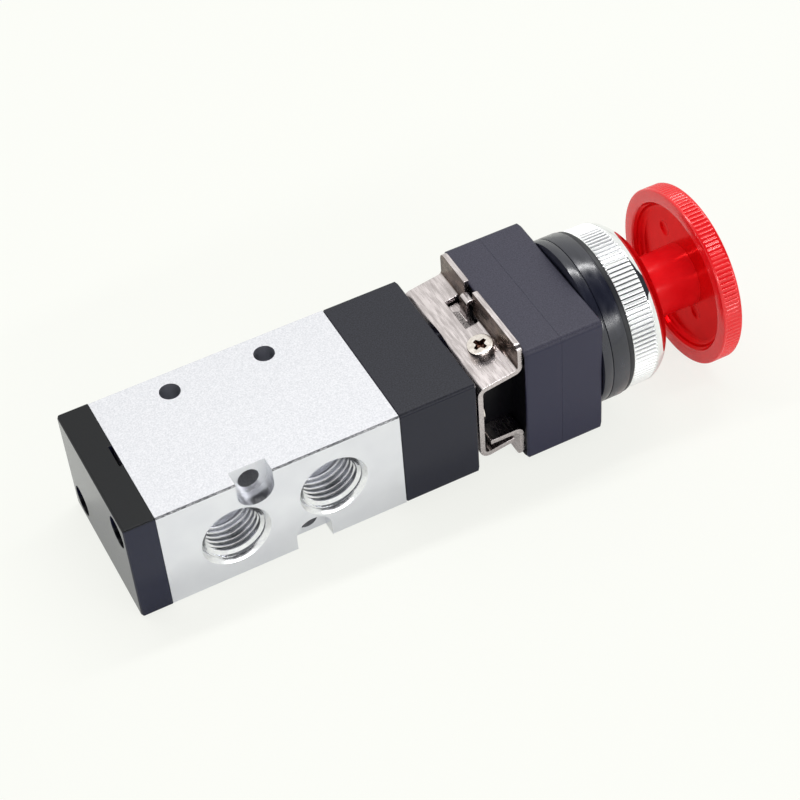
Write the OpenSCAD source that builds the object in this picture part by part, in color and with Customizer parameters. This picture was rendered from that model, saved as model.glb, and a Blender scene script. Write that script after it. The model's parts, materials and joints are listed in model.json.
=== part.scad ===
// Push-pull button valve: a five-port, two-position spool valve worked by a mushroom knob.
// Lengths are in millimetres. The origin is the centre of the valve body's bottom face.
// +X runs along the spool towards the knob, and +Z is up. The two outlet ports face -Y.

/* [Valve body] */
// Length of the aluminium body along the spool
body_l = 52; // [51:0.5:60]
// Width of the body, from the outlet face to the supply face
body_w = 35; // [34.5:0.5:40]
// Height of the body
body_h = 26; // [25.8:0.2:30]
// Chamfer on the long edges of the body
body_edge = 0.4; // [0.2:0.1:0.8]

/* [Ports] */
// Radius of the outlet and supply ports at the root of their thread
port_r = 6.6; // [5.8:0.1:6.8]
// Radius of the countersunk mouth of those ports
port_mouth_r = 7.5; // [7.1:0.1:7.7]
// Depth of the threaded part of every port
port_depth = 9.2; // [7:0.2:10]
// Distance between the two outlet ports
port_pitch = 21.5; // [20:0.5:22.5]
// How far each outlet port is shifted off the spool axis, one down and one up
port_shift = 1.2; // [0.8:0.1:1.4]
// Radius of the two exhaust ports at the root of their thread
exhaust_r = 4.87; // [4:0.01:5]
// Radius of the countersunk mouth of the exhaust ports
exhaust_mouth_r = 5.4; // [5.1:0.1:5.6]
// Distance between the two exhaust ports
exhaust_pitch = 36.8; // [36.6:0.2:38]
// Radius of the passages from the ports to the spool
passage_r = 2.1; // [1.5:0.1:2.2]

/* [Mounting holes] */
// Radius of the two upright holes through the body
top_hole_r = 2.2; // [1.6:0.1:2.3]
// Distance between the two upright holes
top_hole_pitch = 20.8; // [20.4:0.1:21.2]
// Distance of the upright holes from the supply face
top_hole_inset = 5.55; // [4.5:0.05:6]
// Radius of the two holes from the outlet face to the supply face
side_hole_r = 2.25; // [1.6:0.05:2.3]
// Distance between those two holes along the body
side_hole_pitch = 10.8; // [10.6:0.1:11.2]
// Distance of those holes from the top and from the bottom of the body
side_hole_inset = 3.6; // [3.2:0.1:3.7]
// Radius of the open counterbores at the outlet face
side_seat_r = 3.9; // [3.2:0.1:4]
// Depth of the open counterbores
side_seat_depth = 3.6; // [2.5:0.1:5]

/* [Spool] */
// Travel of the knob and of the spool
stroke = 4; // [3.2:0.1:4.2]
// Radius of the spool bore
bore_r = 6; // [5:0.1:6.1]
// Radius of the annular chambers round the bore at the ports
chamber_r = 6.9; // [6.5:0.1:7]
// Length of each annular chamber
chamber_l = 4.4; // [4:0.1:4.5]
// Width of one spool seal
seal_w = 1.4; // [1:0.1:1.5]
// Length of one spool land
land_l = 3.2; // [2.6:0.1:3.3]
// Radius of the spool between its lands
spool_core_r = 3.4; // [2.8:0.1:4]
// Running gap between any shaft and its hole
run_gap = 0.05; // [0.02:0.01:0.09]

/* [End cover] */
// Length of the end cover
cover_l = 6.7; // [6:0.1:9]
// Distance of the cover and guide screws from the long edges
screw_inset = 4.9; // [4.4:0.1:5]
// Radius of the cover and guide screw heads
screw_head_r = 2.9; // [2.4:0.1:3.1]
// Radius of the shanks of those screws
screw_r = 1.6; // [1.2:0.1:1.7]
// Width of the breather slot in the cover's top edge
vent_w = 5.8; // [3:0.2:8]
// Depth of the breather slot along the spool axis
vent_d = 0.8; // [0.4:0.1:1.2]
// Mean radius of the return spring
spring_r = 3; // [2.5:0.1:3.3]
// Radius of the spring wire
spring_wire_r = 0.35; // [0.25:0.05:0.4]
// Turns of the return spring
spring_turns = 4.5; // [3:0.5:5.5]

/* [Guide block] */
// Length of the guide block between the body and the bracket
guide_l = 17.17; // [15:0.01:24]
// Corner radius of the guide block, seen along the spool
guide_corner = 0.8; // [0.4:0.1:1.2]
// Chamfer round the guide block's end at the bracket
guide_edge = 0.4; // [0.2:0.1:1]
// Radius of the push pin
pin_r = 2.5; // [2:0.1:2.6]
// Wall of the brass bush round the pin
bush_wall = 1.45; // [1:0.05:1.8]
// Height of the round pad that the bracket sits on
pad_h = 0.8; // [0.4:0.1:1.2]

/* [Bracket] */
// Thickness of the bracket and clip sheet
sheet_t = 1.2; // [0.8:0.1:1.3]
// How far the bracket is set in from each side of the operator block
bracket_inset = 1.2; // [0.4:0.1:1.6]
// Distance from the guide block to the operator block
bracket_reach = 11.2; // [11:0.1:13]
// Inside radius of the sheet bends
bend_r = 0.9; // [0.5:0.1:1]
// Tilt of the upper and lower plates in degrees
plate_tilt = 9.5; // [4:0.5:10]
// Height of the upper plate above the spool axis at the operator block
plate_up = 10.4; // [9.8:0.1:10.6]
// How far the upper flange stands above the operator block
flange_rise = 1.1; // [-1.6:0.1:1.3]
// Depth of the lower plate's free end below the spool axis
plate_down = 9.1; // [8.8:0.1:9.4]
// Depth of the clip's level leg below the spool axis
clip_down = 7.1; // [6.9:0.1:7.2]
// How far the clip flange ends above the bottom of the operator block
clip_inset = 0.8; // [0.3:0.1:3]
// Thickness of the latch plate under the upper plate
latch_t = 0.8; // [0.5:0.1:0.9]
// Width of the latch hook
hook_w = 3; // [2:0.2:3.2]
// Middle of the latch hook across the valve
hook_y = 4.1; // [3.4:0.1:4.4]

/* [Operator block] */
// Length of the square black block
head_l = 18; // [17.6:0.1:22]
// Wall of the block on either side of the barrel
head_side_wall = 2.6; // [1.8:0.1:4]
// Wall of the block above and below the barrel
head_top_wall = 0.8; // [0.6:0.1:3]
// Corner radius of the block, seen along the spool
head_corner = 1.2; // [0.8:0.2:3]
// Edge rounding at the block's two ends
head_edge = 0.5; // [0.3:0.1:1.2]
// Length of the rear half of the block, up to the parting line
head_split = 8.3; // [8:0.1:9.5]

/* [Neck and ring nut] */
// Radius of the threaded barrel, and so of the panel hole
barrel_r = 15; // [14.8:0.05:15.1]
// How far the collar and the washer stand out from the barrel
collar_wall = 3.4; // [2.4:0.1:5]
// Thickness of the fixed collar
collar_t = 2.2; // [1:0.1:3]
// Thickness of the spacer washer
washer_t = 4; // [2:0.1:5]
// Thickness of the panel gasket
gasket_t = 1; // [0.6:0.1:2]
// How far the ribs of the ring nut stand out from the barrel
nut_wall = 2.9; // [2:0.1:4.5]
// Length of the ribbed band of the ring nut
nut_band = 6; // [4:0.1:7]
// Length of the polished dome of the ring nut
nut_dome = 3.7; // [3:0.1:5]
// How far the ring nut's front edge stands out from the plunger
nut_front_wall = 1.1; // [0.9:0.1:2]
// Number of ribs round the ring nut
nut_ribs = 96; // [60:2:110]

/* [Knob] */
// Wall of the barrel round the red plunger that slides in it
barrel_wall = 1.65; // [1.5:0.05:2.4]
// How far the plunger stands out of the ring nut
plunger_out = 0.3; // [0.1:0.1:1.6]
// Radius of the stem at the plunger
stem_r = 6.75; // [5.5:0.05:7]
// Radius of the stem at the knob
stem_end_r = 7.15; // [6:0.05:8]
// Gap between the ring nut and the back of the knob's rim
finger_gap = 11.1; // [10:0.1:14]
// Radius of the mushroom knob
knob_r = 20; // [18:0.5:24]
// Length of the knob's ribbed rim
rim_l = 4.4; // [3.5:0.1:6]
// Depth of the hollow in the back of the knob
knob_hollow = 2.2; // [1.6:0.1:2.4]
// Rise of the knob's domed front
dome_h = 1.4; // [0.8:0.1:3]
// Number of ribs round the knob
knob_ribs = 120; // [80:2:150]

/* [Hidden] */
$fn = 64;

axis_z = body_h / 2;
eps = 0.01;
head_w = 2 * (barrel_r + head_side_wall);
head_h = 2 * (barrel_r + head_top_wall);
bracket_w = head_w - 2 * bracket_inset;
flange_up = head_h / 2 + flange_rise;
clip_foot = head_h / 2 - clip_inset;
collar_r = barrel_r + collar_wall;
nut_r = barrel_r + nut_wall;
plunger_bore_r = barrel_r - barrel_wall;
plunger_r = plunger_bore_r - run_gap;
nut_front_r = plunger_r + nut_front_wall;
black = "#26272e";
silver = "#d6d8da";
nickel = "#c9c4ba";
steel = "#a8abb0";
red = "#d8202a";

// Stations along the spool axis
body_x = body_l / 2;
cover_x = -body_x - cover_l;
guide_x = body_x + guide_l;
web_x = guide_x + pad_h;
head_x = guide_x + bracket_reach;
split_x = head_x + head_split;
front_x = head_x + head_l;
washer_x = front_x + collar_t;
gasket_x = washer_x + washer_t;
nut_x = gasket_x + gasket_t;
dome_x = nut_x + nut_band;
nut_end_x = dome_x + nut_dome;
rim_x = nut_end_x + finger_gap;
web_back_x = rim_x + knob_hollow;
rim_end_x = rim_x + rim_l;

// Seals of the spool at rest: each closes or frees a port when the spool moves by one stroke
seal_gap = 0.2;
left_seal_x = -body_x + stroke + seal_w / 2 + seal_gap / 4;
right_seal_x = body_x - seal_w / 2 - seal_gap / 2;
seal_xs = [left_seal_x, -port_pitch / 2, -port_pitch / 2 + stroke + seal_gap,
  port_pitch / 2, port_pitch / 2 + stroke + seal_gap, right_seal_x];
land_gap = 0.4;
land_r = bore_r - land_gap;
seal_depth = 1.5;
seal_root_r = bore_r - seal_depth;
seal_edge = 0.3;
spool_left_x = left_seal_x - land_l / 2;
spool_right_x = right_seal_x + land_l / 2;
end_room = 0.3;
recess_r = bore_r + end_room;
recess_left = spool_left_x - stroke - 2 * end_room;
recess_right = spool_right_x + 2 * end_room;
vent_y = 1.4;

// Spring pocket in the end cover
pocket_wall = 1.5;
pocket_x = cover_x + pocket_wall;
spring_room = 0.4;
pocket_r = spring_r + spring_wire_r + spring_room;
spigot_r = spring_r - spring_wire_r - spring_room;
spigot_l = 2;

// Screws of the cover and of the guide block, as [y, z], on opposite corners
corner_screws = [[-body_w / 2 + screw_inset, body_h - screw_inset],
  [body_w / 2 - screw_inset, screw_inset]];
screw_bite = 8;
screw_head_h = 2.6;
screw_sink = 0.9;
screw_seat_gap = 0.4;
screw_gap = 0.15;
guide_seat_x = guide_x - screw_head_h - screw_sink;
cover_seat_x = cover_x + screw_head_h + screw_sink;

// Pin, bush and seal in the guide block
bush_r = pin_r + run_gap + bush_wall;
seal_len = 1.6;
lip_l = 0.7;
bush_seat_x = recess_right + lip_l;
bush_x = bush_seat_x + seal_len;
pad_inset = 0.4;
pad_r = axis_z - pad_inset;
web_hole_gap = 2;
web_hole_r = bush_r + web_hole_gap;
bracket_screw_y = 9.8;
bracket_screw_dz = 2.7;
bracket_screw_r = 1.9;
bracket_head_r = 3.3;
bracket_head_h = 2.1;
bracket_screw_l = 8;

// Bent sheets: middle lines in the XZ plane, from the upper flange round to the lower plate
flange_mid_x = head_x - sheet_t / 2;
web_mid_x = web_x + sheet_t / 2;
plate_rise = tan(plate_tilt);
plate_z = axis_z + plate_up;
web_top_z = plate_z - (flange_mid_x - web_mid_x) * plate_rise;
lower_end_gap = 1.1;
lower_end_x = flange_mid_x - sheet_t / 2 - lower_end_gap;
lower_end_z = axis_z - plate_down;
web_low_z = lower_end_z - (lower_end_x - web_mid_x) * plate_rise;
bracket_line = [[flange_mid_x, axis_z + flange_up], [flange_mid_x, plate_z],
  [web_mid_x, web_top_z], [web_mid_x, web_low_z], [lower_end_x, lower_end_z]];
clip_z = axis_z - clip_down;
clip_gap_to_web = 1.3;
clip_x = web_x + sheet_t + clip_gap_to_web;
clip_line = [[clip_x, clip_z], [flange_mid_x, clip_z], [flange_mid_x, axis_z - clip_foot]];
flange_corner = 1.6;

// Window and slot for the latch hook
window_l = 4.3;
window_x = head_x - window_l;
window_left = 4.4;
window_right = 4.6;
window_y = [hook_y - window_left, hook_y + window_right];
slot_gap = 0.25;
slot_w = hook_w + 2 * slot_gap;
slot_start = 1;
hook_rise = 3.6;
hook_top_z = plate_z + hook_rise;
hook_back = 1.6;
hook_x = flange_mid_x - hook_back;
hook_nose_gap = 0.6;
hook_end_x = head_x - hook_nose_gap;
hook_drop = 1.8;
latch_bend = 0.2;
latch_y = [-10.6, 8.2];
latch_line_z = plate_z - (sheet_t / 2 + latch_t / 2) / cos(plate_tilt)
  - (flange_mid_x - hook_x) * plate_rise;

// Clamping screws through the plates into the operator's boss
clamp_back = 4.4;
clamp_x = head_x - clamp_back;
clamp_y = -7.3;
clamp_head_r = 2.8;
clamp_head_h = 1.9;
clamp_r = 1.45;
clamp_l = 6;
clamp_hole_gap = 0.2;
clip_hole_gap = 0.6;
lower_clamp_back = 5.2;
lower_clamp_x = head_x - lower_clamp_back;
lower_clamp_head_h = 1.52;
lower_clamp_l = 8;
latch_from = -clamp_head_r;
latch_to = hook_x - clamp_x + latch_t / 2;

// Boss of the operator base, between the plates
boss_gap = 0.4;
boss_x = web_x + sheet_t + boss_gap;
boss_half_w = 11.6;
boss_low_z = clip_z + sheet_t / 2 + run_gap;
pin_room = 0.3;
head_room = 0.5;

// Top of the boss, against the underside of the latch plate
function boss_top(x) = plate_z - (sheet_t / 2 + latch_t) / cos(plate_tilt) - fit_gap
  - (flange_mid_x - x) * plate_rise;

// Screws that hold the two halves of the block together
block_screw_inset = 2.9;
block_screw_y = head_w / 2 - block_screw_inset;
block_screw_z = head_h / 2 - block_screw_inset;
block_screw_r = 1.2;
block_screw_l = 6;
block_head_r = 2.1;
block_head_h = 1.9;
block_head_gap = 0.3;
block_seat_x = head_x + block_head_h + 2 * block_head_gap;

// Push rod, its clip and the detent
rod_r = 3;
waist_r = 2.4;
clip_room_r = 5.4;
carrier_rear = 2.5;
carrier_front = 3.3;
carrier_x = split_x - carrier_rear;
carrier_end_x = split_x + carrier_front;
rear_step = 1.4;
spigot_rear_r = barrel_r - rear_step;
carrier_step = 0.6;
carrier_r = spigot_rear_r - carrier_step;
ball_r = 1.5;
ball_x = (carrier_x + carrier_end_x) / 2;
ball_out = waist_r + ball_r + run_gap;
waist_room = 1.5;
rod_tail = 1.7;
rod_x = carrier_x - rod_tail;
clip_land = 0.9;
clip_t = 0.8;
clip_gap = 0.1;
clip_r = 4.8;
groove_x = rod_x + clip_land;
detent_wire_r = 0.2;
detent_gap = 0.1;
detent_spring_r = ball_r - detent_wire_r - detent_gap;
plug_l = 2;
plug_gap = 0.4;
detent_turns = 4;

// Barrel and plunger
barrel_x = carrier_end_x;
circlip_w = 1;
circlip_back = 5;
circlip_x = front_x - circlip_back;
circlip_gap = 0.4;
circlip_r = barrel_r - circlip_gap;
circlip_depth = 0.9;
circlip_root_r = spigot_rear_r - circlip_depth;
seat_gap = 0.1;
seat_r = barrel_r - seat_gap;
barrel_wall_l = 3;
barrel_inner_wall = 2;
barrel_inner_r = circlip_root_r - barrel_inner_wall;
barrel_step = 1.2;
barrel_step_x = front_x + barrel_step;
lip_t = 2.6;
lip_gap = 0.3;
barrel_end_x = nut_end_x - lip_t - seat_gap;
fit_gap = 0.05;
gasket_inset = 0.2;
nut_rib_depth = 0.35;
dome_step = 0.4;
nut_dome_steps = 8;
plunger_front_x = nut_end_x + plunger_out;
plunger_room = 0.4;
plunger_rear_x = barrel_step_x + stroke + plunger_room;
plunger_wall = 1.6;
plunger_floor = 3.5;
plunger_edge = 0.3;
hub_r = 5.4;
hub_back = 2;
rod_cover = 2;
tenon_r = 4;
tenon_l = 1.9;

// Mushroom knob
rim_wall = 3;
rim_flare = 0.6;
hollow_round = 1.4;
hollow_steps = 4;
rim_in = knob_r - rim_wall;
knob_edge = 0.4;
dome_r = (pow(knob_r - knob_edge, 2) + pow(dome_h, 2)) / (2 * dome_h);
dome_steps = 8;
dimple_r = 1.6;
dimple_depth = 0.35;
dimples = [[7.5, 7.4], [-5.6, -6.5]];

// A cylinder along X on the spool axis, or beside it
module disc(x0, x1, r, y = 0, z = axis_z)
  translate([x0, y, z]) rotate([0, 90, 0]) cylinder(h = x1 - x0, r = r);

// A ring along X on the spool axis
module ring(x0, x1, outer, inner)
  difference() {
    disc(x0, x1, outer);
    disc(x0 - 1, x1 + 1, inner);
  }

// A cylinder along Y
module cross_hole(y0, y1, x, z, r)
  translate([x, y0, z]) rotate([-90, 0, 0]) cylinder(h = y1 - y0, r = r);

// A body turned about the spool axis from [x, radius] points
module turned(points)
  translate([0, 0, axis_z]) rotate([0, 90, 0]) rotate_extrude()
    polygon([for (p = points) [p[1], p[0]]]);

// An outline in the XZ plane, given its width across the valve
module across(width)
  translate([0, width / 2, 0]) rotate([90, 0, 0]) linear_extrude(width) children();

// An outline in the YZ plane, run from x0 to x1
module along(x0, x1)
  translate([x0, 0, axis_z]) rotate([90, 0, 90]) linear_extrude(x1 - x0) children();

// A rectangle with round corners, centred
module rounded(w, h, r) {
  square([w - 2 * r, h], center = true);
  square([w, h - 2 * r], center = true);
  for (sy = [-1, 1], sz = [-1, 1])
    translate([sy * (w / 2 - r), sz * (h / 2 - r)]) circle(r, $fn = 32);
}

// A moulded block whose edges are eased at x0 by ease0 and at x1 by ease1
module moulded(x0, x1, w, h, corner, ease0, ease1)
  hull() {
    along(x0 + ease0, x1 - ease1) rounded(w, h, corner);
    along(x0, x1) rounded(w - 2 * max(ease0, ease1), h - 2 * max(ease0, ease1), corner);
  }

// One bend of a sheet at corner b, as points on the side at distance side from the middle line
function unit(v) = v / norm(v);
function turn_of(a, b, c) = sign((b - a)[0] * (c - b)[1] - (b - a)[1] * (c - b)[0]);
function bend(a, b, c, r, side) =
  let (u = unit(a - b), v = unit(c - b), half = acos(u * v) / 2, s = turn_of(a, b, c),
       middle = b + unit(u + v) * r / sin(half), radius = r - s * side,
       from = b + u * r / tan(half) - middle, first = atan2(from[1], from[0]),
       sweep = s * (180 - 2 * half))
  [for (i = [0:6]) middle + radius * [cos(first + sweep * i / 6), sin(first + sweep * i / 6)]];
function left_of(a, b) = [-(b - a)[1], (b - a)[0]] / norm(b - a);
function sheet_side(line, r, side) = let (n = len(line)) concat(
  [line[0] + left_of(line[0], line[1]) * side],
  [for (i = [1:n - 2]) each bend(line[i - 1], line[i], line[i + 1], r, side)],
  [line[n - 1] + left_of(line[n - 2], line[n - 1]) * side]);
function backwards(list) = [for (i = [len(list) - 1:-1:0]) list[i]];

// A strip of sheet metal bent along a line in the XZ plane
module bent_sheet(line, t, width, r = bend_r)
  across(width) polygon(concat(sheet_side(line, r + t / 2, t / 2),
    backwards(sheet_side(line, r + t / 2, -t / 2))));

// A coil of round wire along +Z from the origin, as a swept ring of points
module coil(r, wire, length, turns, steps = 16, sides = 6) {
  n = floor(turns * steps);
  climb = length - 2 * wire;
  rings = [for (i = [0:n]) let (a = 360 * i / steps)
    [for (k = [0:sides - 1]) let (b = 360 * k / sides, q = r + wire * cos(b))
      [q * cos(a), q * sin(a), wire + climb * i / n + wire * sin(b)]]];
  skin = [for (i = [0:n - 1], k = [0:sides - 1]) let (m = (k + 1) % sides, j = i * sides)
    each [[j + k, j + m, j + sides + m], [j + k, j + sides + m, j + sides + k]]];
  polyhedron(points = [for (one = rings) each one], faces = concat(
    [[for (k = [sides - 1:-1:0]) k]], skin, [[for (k = [0:sides - 1]) n * sides + k]]));
}

// A pan-head screw standing on z = 0, its shank down -Z
module pan_screw(head_r, head_h, shank_r, shank_l) {
  slot_l = head_r * 1.2;
  slot_t = head_r * 0.26;
  slot_z = head_h * 0.45;
  difference() {
    rotate_extrude() polygon([[0, 0], [head_r, 0], [head_r, head_h * 0.72],
      [head_r * 0.88, head_h], [0, head_h]]);
    for (turn = [0, 90]) rotate(turn) translate([-slot_l / 2, -slot_t / 2, slot_z])
      cube([slot_l, slot_t, head_h]);
  }
  translate([0, 0, -shank_l]) cylinder(h = shank_l + eps, r = shank_r);
}

// A socket-head screw standing on z = 0, its shank down -Z
module socket_screw(head_r, head_h, shank_r, shank_l) {
  difference() {
    cylinder(h = head_h, r = head_r);
    translate([0, 0, head_h * 0.45]) cylinder(h = head_h, r = head_r * 0.56, $fn = 6);
  }
  translate([0, 0, -shank_l]) cylinder(h = shank_l + eps, r = shank_r);
}

// One port: threaded length, countersunk mouth and passage to the spool. side is -1 or 1 in Y
module port(x, z, r, mouth_r, side)
  translate([x, side * body_w / 2, z]) rotate([side * 90, 0, 0]) {
    translate([0, 0, -eps]) cylinder(h = port_depth + eps, r = r);
    translate([0, 0, -eps]) cylinder(h = mouth_r - r, r1 = mouth_r, r2 = r);
    cylinder(h = body_w / 2 - bore_r + 1, r = passage_r);
  }

// A counterbored hole from the outlet face, open at the top (up = 1) or the bottom (up = -1)
module side_hole(up) {
  x = -up * side_hole_pitch / 2;
  z = axis_z + up * (axis_z - side_hole_inset);
  cross_hole(-body_w / 2 - 1, body_w / 2 + 1, x, z, side_hole_r);
  cross_hole(-body_w / 2 - 1, -body_w / 2 + side_seat_depth, x, z, side_seat_r);
  translate([x - side_seat_r, -body_w / 2 - 1, up > 0 ? z : z - side_hole_inset - 1])
    cube([2 * side_seat_r, side_seat_depth + 1, side_hole_inset + 1]);
}

module valve_body() color(silver) difference() {
  along(-body_x, body_x) polygon([for (s = [[1, 1], [-1, 1], [-1, -1], [1, -1]])
    each let (y = s[0] * body_w / 2, z = s[1] * body_h / 2,
              a = [y - s[0] * body_edge, z], b = [y, z - s[1] * body_edge])
      s[0] * s[1] > 0 ? [b, a] : [a, b]]);
  disc(-body_x - 1, body_x + 1, bore_r);
  for (x = [-exhaust_pitch / 2, -port_pitch / 2, 0, port_pitch / 2, exhaust_pitch / 2])
    disc(x - chamber_l / 2, x + chamber_l / 2, chamber_r);
  for (s = [-1, 1]) {
    port(s * port_pitch / 2, axis_z + s * port_shift, port_r, port_mouth_r, -1);
    port(s * exhaust_pitch / 2, axis_z, exhaust_r, exhaust_mouth_r, 1);
    side_hole(s);
    translate([s * top_hole_pitch / 2, body_w / 2 - top_hole_inset, -1])
      cylinder(h = body_h + 2, r = top_hole_r);
    for (c = corner_screws)
      disc(s * body_x - screw_bite - 1, s * body_x + screw_bite + 1, screw_r, c[0], c[1]);
  }
  port(0, axis_z, port_r, port_mouth_r, 1);
}

module end_cover() color(black) difference() {
  moulded(cover_x, -body_x, body_w, body_h, body_edge, body_edge, 0);
  disc(pocket_x, -body_x + 1, pocket_r);
  disc(recess_left, -body_x + 1, recess_r);
  translate([-body_x - vent_d, vent_y - vent_w / 2, axis_z])
    cube([vent_d + 1, vent_w, body_h]);
  for (c = corner_screws) {
    disc(cover_x - 1, -body_x + 1, screw_r + screw_gap, c[0], c[1]);
    disc(cover_x - 1, cover_seat_x, screw_head_r + screw_seat_gap, c[0], c[1]);
  }
}

module cover_screws() color(steel) for (c = corner_screws)
  translate([cover_seat_x, c[0], c[1]]) rotate([0, -90, 0])
    socket_screw(screw_head_r, screw_head_h, screw_r, screw_bite - cover_x - body_x
      - screw_head_h - screw_sink);

module spool() color(silver) {
  turned(concat([[spool_left_x, 0]],
    [for (s = seal_xs) each [[s - land_l / 2, spool_core_r], [s - land_l / 2, land_r],
      [s - seal_w / 2, land_r], [s - seal_w / 2, seal_root_r], [s + seal_w / 2, seal_root_r],
      [s + seal_w / 2, land_r], [s + land_l / 2, land_r], [s + land_l / 2, spool_core_r]]],
    [[spool_right_x, 0]]));
  disc(spool_left_x - spigot_l, spool_left_x + eps, spigot_r);
}

module spool_seals() color(black) for (s = seal_xs)
  turned([[s - seal_w / 2, seal_root_r], [s - seal_w / 2, bore_r - run_gap - seal_edge],
    [s - seal_w / 4, bore_r - run_gap], [s + seal_w / 4, bore_r - run_gap],
    [s + seal_w / 2, bore_r - run_gap - seal_edge], [s + seal_w / 2, seal_root_r]]);

module return_spring() color(steel)
  translate([pocket_x, 0, axis_z]) rotate([0, 90, 0])
    coil(spring_r, spring_wire_r, spool_left_x - pocket_x, spring_turns);

module guide_block() color(black) difference() {
  union() {
    moulded(body_x, guide_x, body_w, body_h, guide_corner, body_edge, guide_edge);
    disc(guide_x - eps, web_x, pad_r);
  }
  disc(body_x - 1, recess_right, recess_r);
  disc(recess_right - 1, bush_seat_x + eps, pin_r + pin_room);
  disc(bush_seat_x, web_x + 1, bush_r);
  for (c = corner_screws) {
    disc(body_x - 1, web_x + 1, screw_r + screw_gap, c[0], c[1]);
    disc(guide_seat_x, web_x + 1, screw_head_r + screw_seat_gap, c[0], c[1]);
  }
  for (s = [-1, 1])
    disc(web_x - bracket_screw_l, web_x + 1, bracket_screw_r, s * bracket_screw_y,
      axis_z + s * bracket_screw_dz);
}

module guide_screws() color(steel) for (c = corner_screws)
  translate([guide_seat_x, c[0], c[1]]) rotate([0, 90, 0])
    socket_screw(screw_head_r, screw_head_h, screw_r, guide_seat_x - body_x + screw_bite);

module pin_bush() color("#b08d4a") ring(bush_x, web_x, bush_r, pin_r + run_gap);

module pin_seal() color(black) ring(bush_seat_x, bush_x, bush_r, pin_r + run_gap);

module push_pin() color(steel) disc(spool_right_x, rod_x, pin_r);

module bracket() color(nickel) difference() {
  bent_sheet(bracket_line, sheet_t, bracket_w);
  disc(web_x - 1, web_x + sheet_t + 1, web_hole_r);
  for (s = [-1, 1])
    disc(web_x - 1, web_x + sheet_t + 1, bracket_screw_r + screw_gap, s * bracket_screw_y,
      axis_z + s * bracket_screw_dz);
  translate([window_x, window_y[0], plate_z - 3 * sheet_t])
    cube([flange_mid_x - sheet_t / 2 - window_x, window_y[1] - window_y[0], 4 * sheet_t]);
  translate([window_x + slot_start, hook_y - slot_w / 2, plate_z - 3 * sheet_t])
    cube([window_l + sheet_t, slot_w, flange_up]);
  on_upper_plate(clamp_x, clamp_y) translate([0, 0, -2 * sheet_t])
    cylinder(h = 3 * sheet_t, r = clamp_r + clamp_hole_gap);
  on_lower_plate(lower_clamp_x, -clamp_y) translate([0, 0, -2 * sheet_t])
    cylinder(h = 3 * sheet_t, r = clamp_r + clamp_hole_gap);
  for (s = [-1, 1]) round_off(s, axis_z + flange_up, 1);
}

// Cuts the corner of a flange: s is the end in Y, up is 1 at a top edge and -1 at a bottom edge
module round_off(s, edge_z, up) {
  r = flange_corner;
  cut = 2 * sheet_t;
  translate([flange_mid_x - cut, s * (bracket_w / 2 - r), edge_z - up * r]) difference() {
    translate([0, s > 0 ? 0 : -r - 1, up > 0 ? 0 : -r - 1]) cube([2 * cut, r + 1, r + 1]);
    translate([-1, 0, 0]) rotate([0, 90, 0]) cylinder(h = 2 * cut + 2, r = r);
  }
}

// Places things on the outer face of the upper plate, with +Z square to it
module on_upper_plate(x, y)
  translate([x, y, plate_z - (flange_mid_x - x) * plate_rise]) rotate([0, -plate_tilt, 0])
    translate([0, 0, sheet_t / 2]) children();

// Places things on the outer face of the lower plate, with +Z square to it and pointing down
module on_lower_plate(x, y)
  translate([x, y, lower_end_z - (lower_end_x - x) * plate_rise])
    rotate([180, -plate_tilt, 0]) translate([0, 0, sheet_t / 2]) children();

module bracket_screws() color(steel) for (s = [-1, 1])
  translate([web_x + sheet_t, s * bracket_screw_y, axis_z + s * bracket_screw_dz])
    rotate([0, 90, 0])
      pan_screw(bracket_head_r, bracket_head_h, bracket_screw_r, bracket_screw_l + sheet_t);

// The latch plate lies under the upper plate and its hook stands up through the window
module latch_plate() color(nickel) {
  difference() {
    on_upper_plate(clamp_x, 0) translate([latch_from, latch_y[0], -sheet_t - latch_t])
      cube([latch_to - latch_from, latch_y[1] - latch_y[0], latch_t]);
    on_upper_plate(clamp_x, clamp_y) translate([0, 0, -4 * sheet_t])
      cylinder(h = 5 * sheet_t, r = clamp_r + clamp_hole_gap);
  }
  translate([0, hook_y, 0]) bent_sheet([[hook_x, latch_line_z], [hook_x, hook_top_z],
    [hook_end_x, hook_top_z], [hook_end_x, hook_top_z - hook_drop]], latch_t, hook_w, latch_bend);
}

module lower_clip() color(nickel) difference() {
  bent_sheet(clip_line, sheet_t, bracket_w);
  translate([lower_clamp_x, -clamp_y, clip_z - sheet_t])
    cylinder(h = 2 * sheet_t, r = clamp_r + clip_hole_gap);
  for (s = [-1, 1]) round_off(s, axis_z - clip_foot, -1);
}

module clamp_screw() color(steel) on_upper_plate(clamp_x, clamp_y)
  pan_screw(clamp_head_r, clamp_head_h, clamp_r, clamp_l);

module lower_clamp_screw() color(steel) on_lower_plate(lower_clamp_x, -clamp_y)
  pan_screw(clamp_head_r, lower_clamp_head_h, clamp_r, lower_clamp_l);

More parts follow.
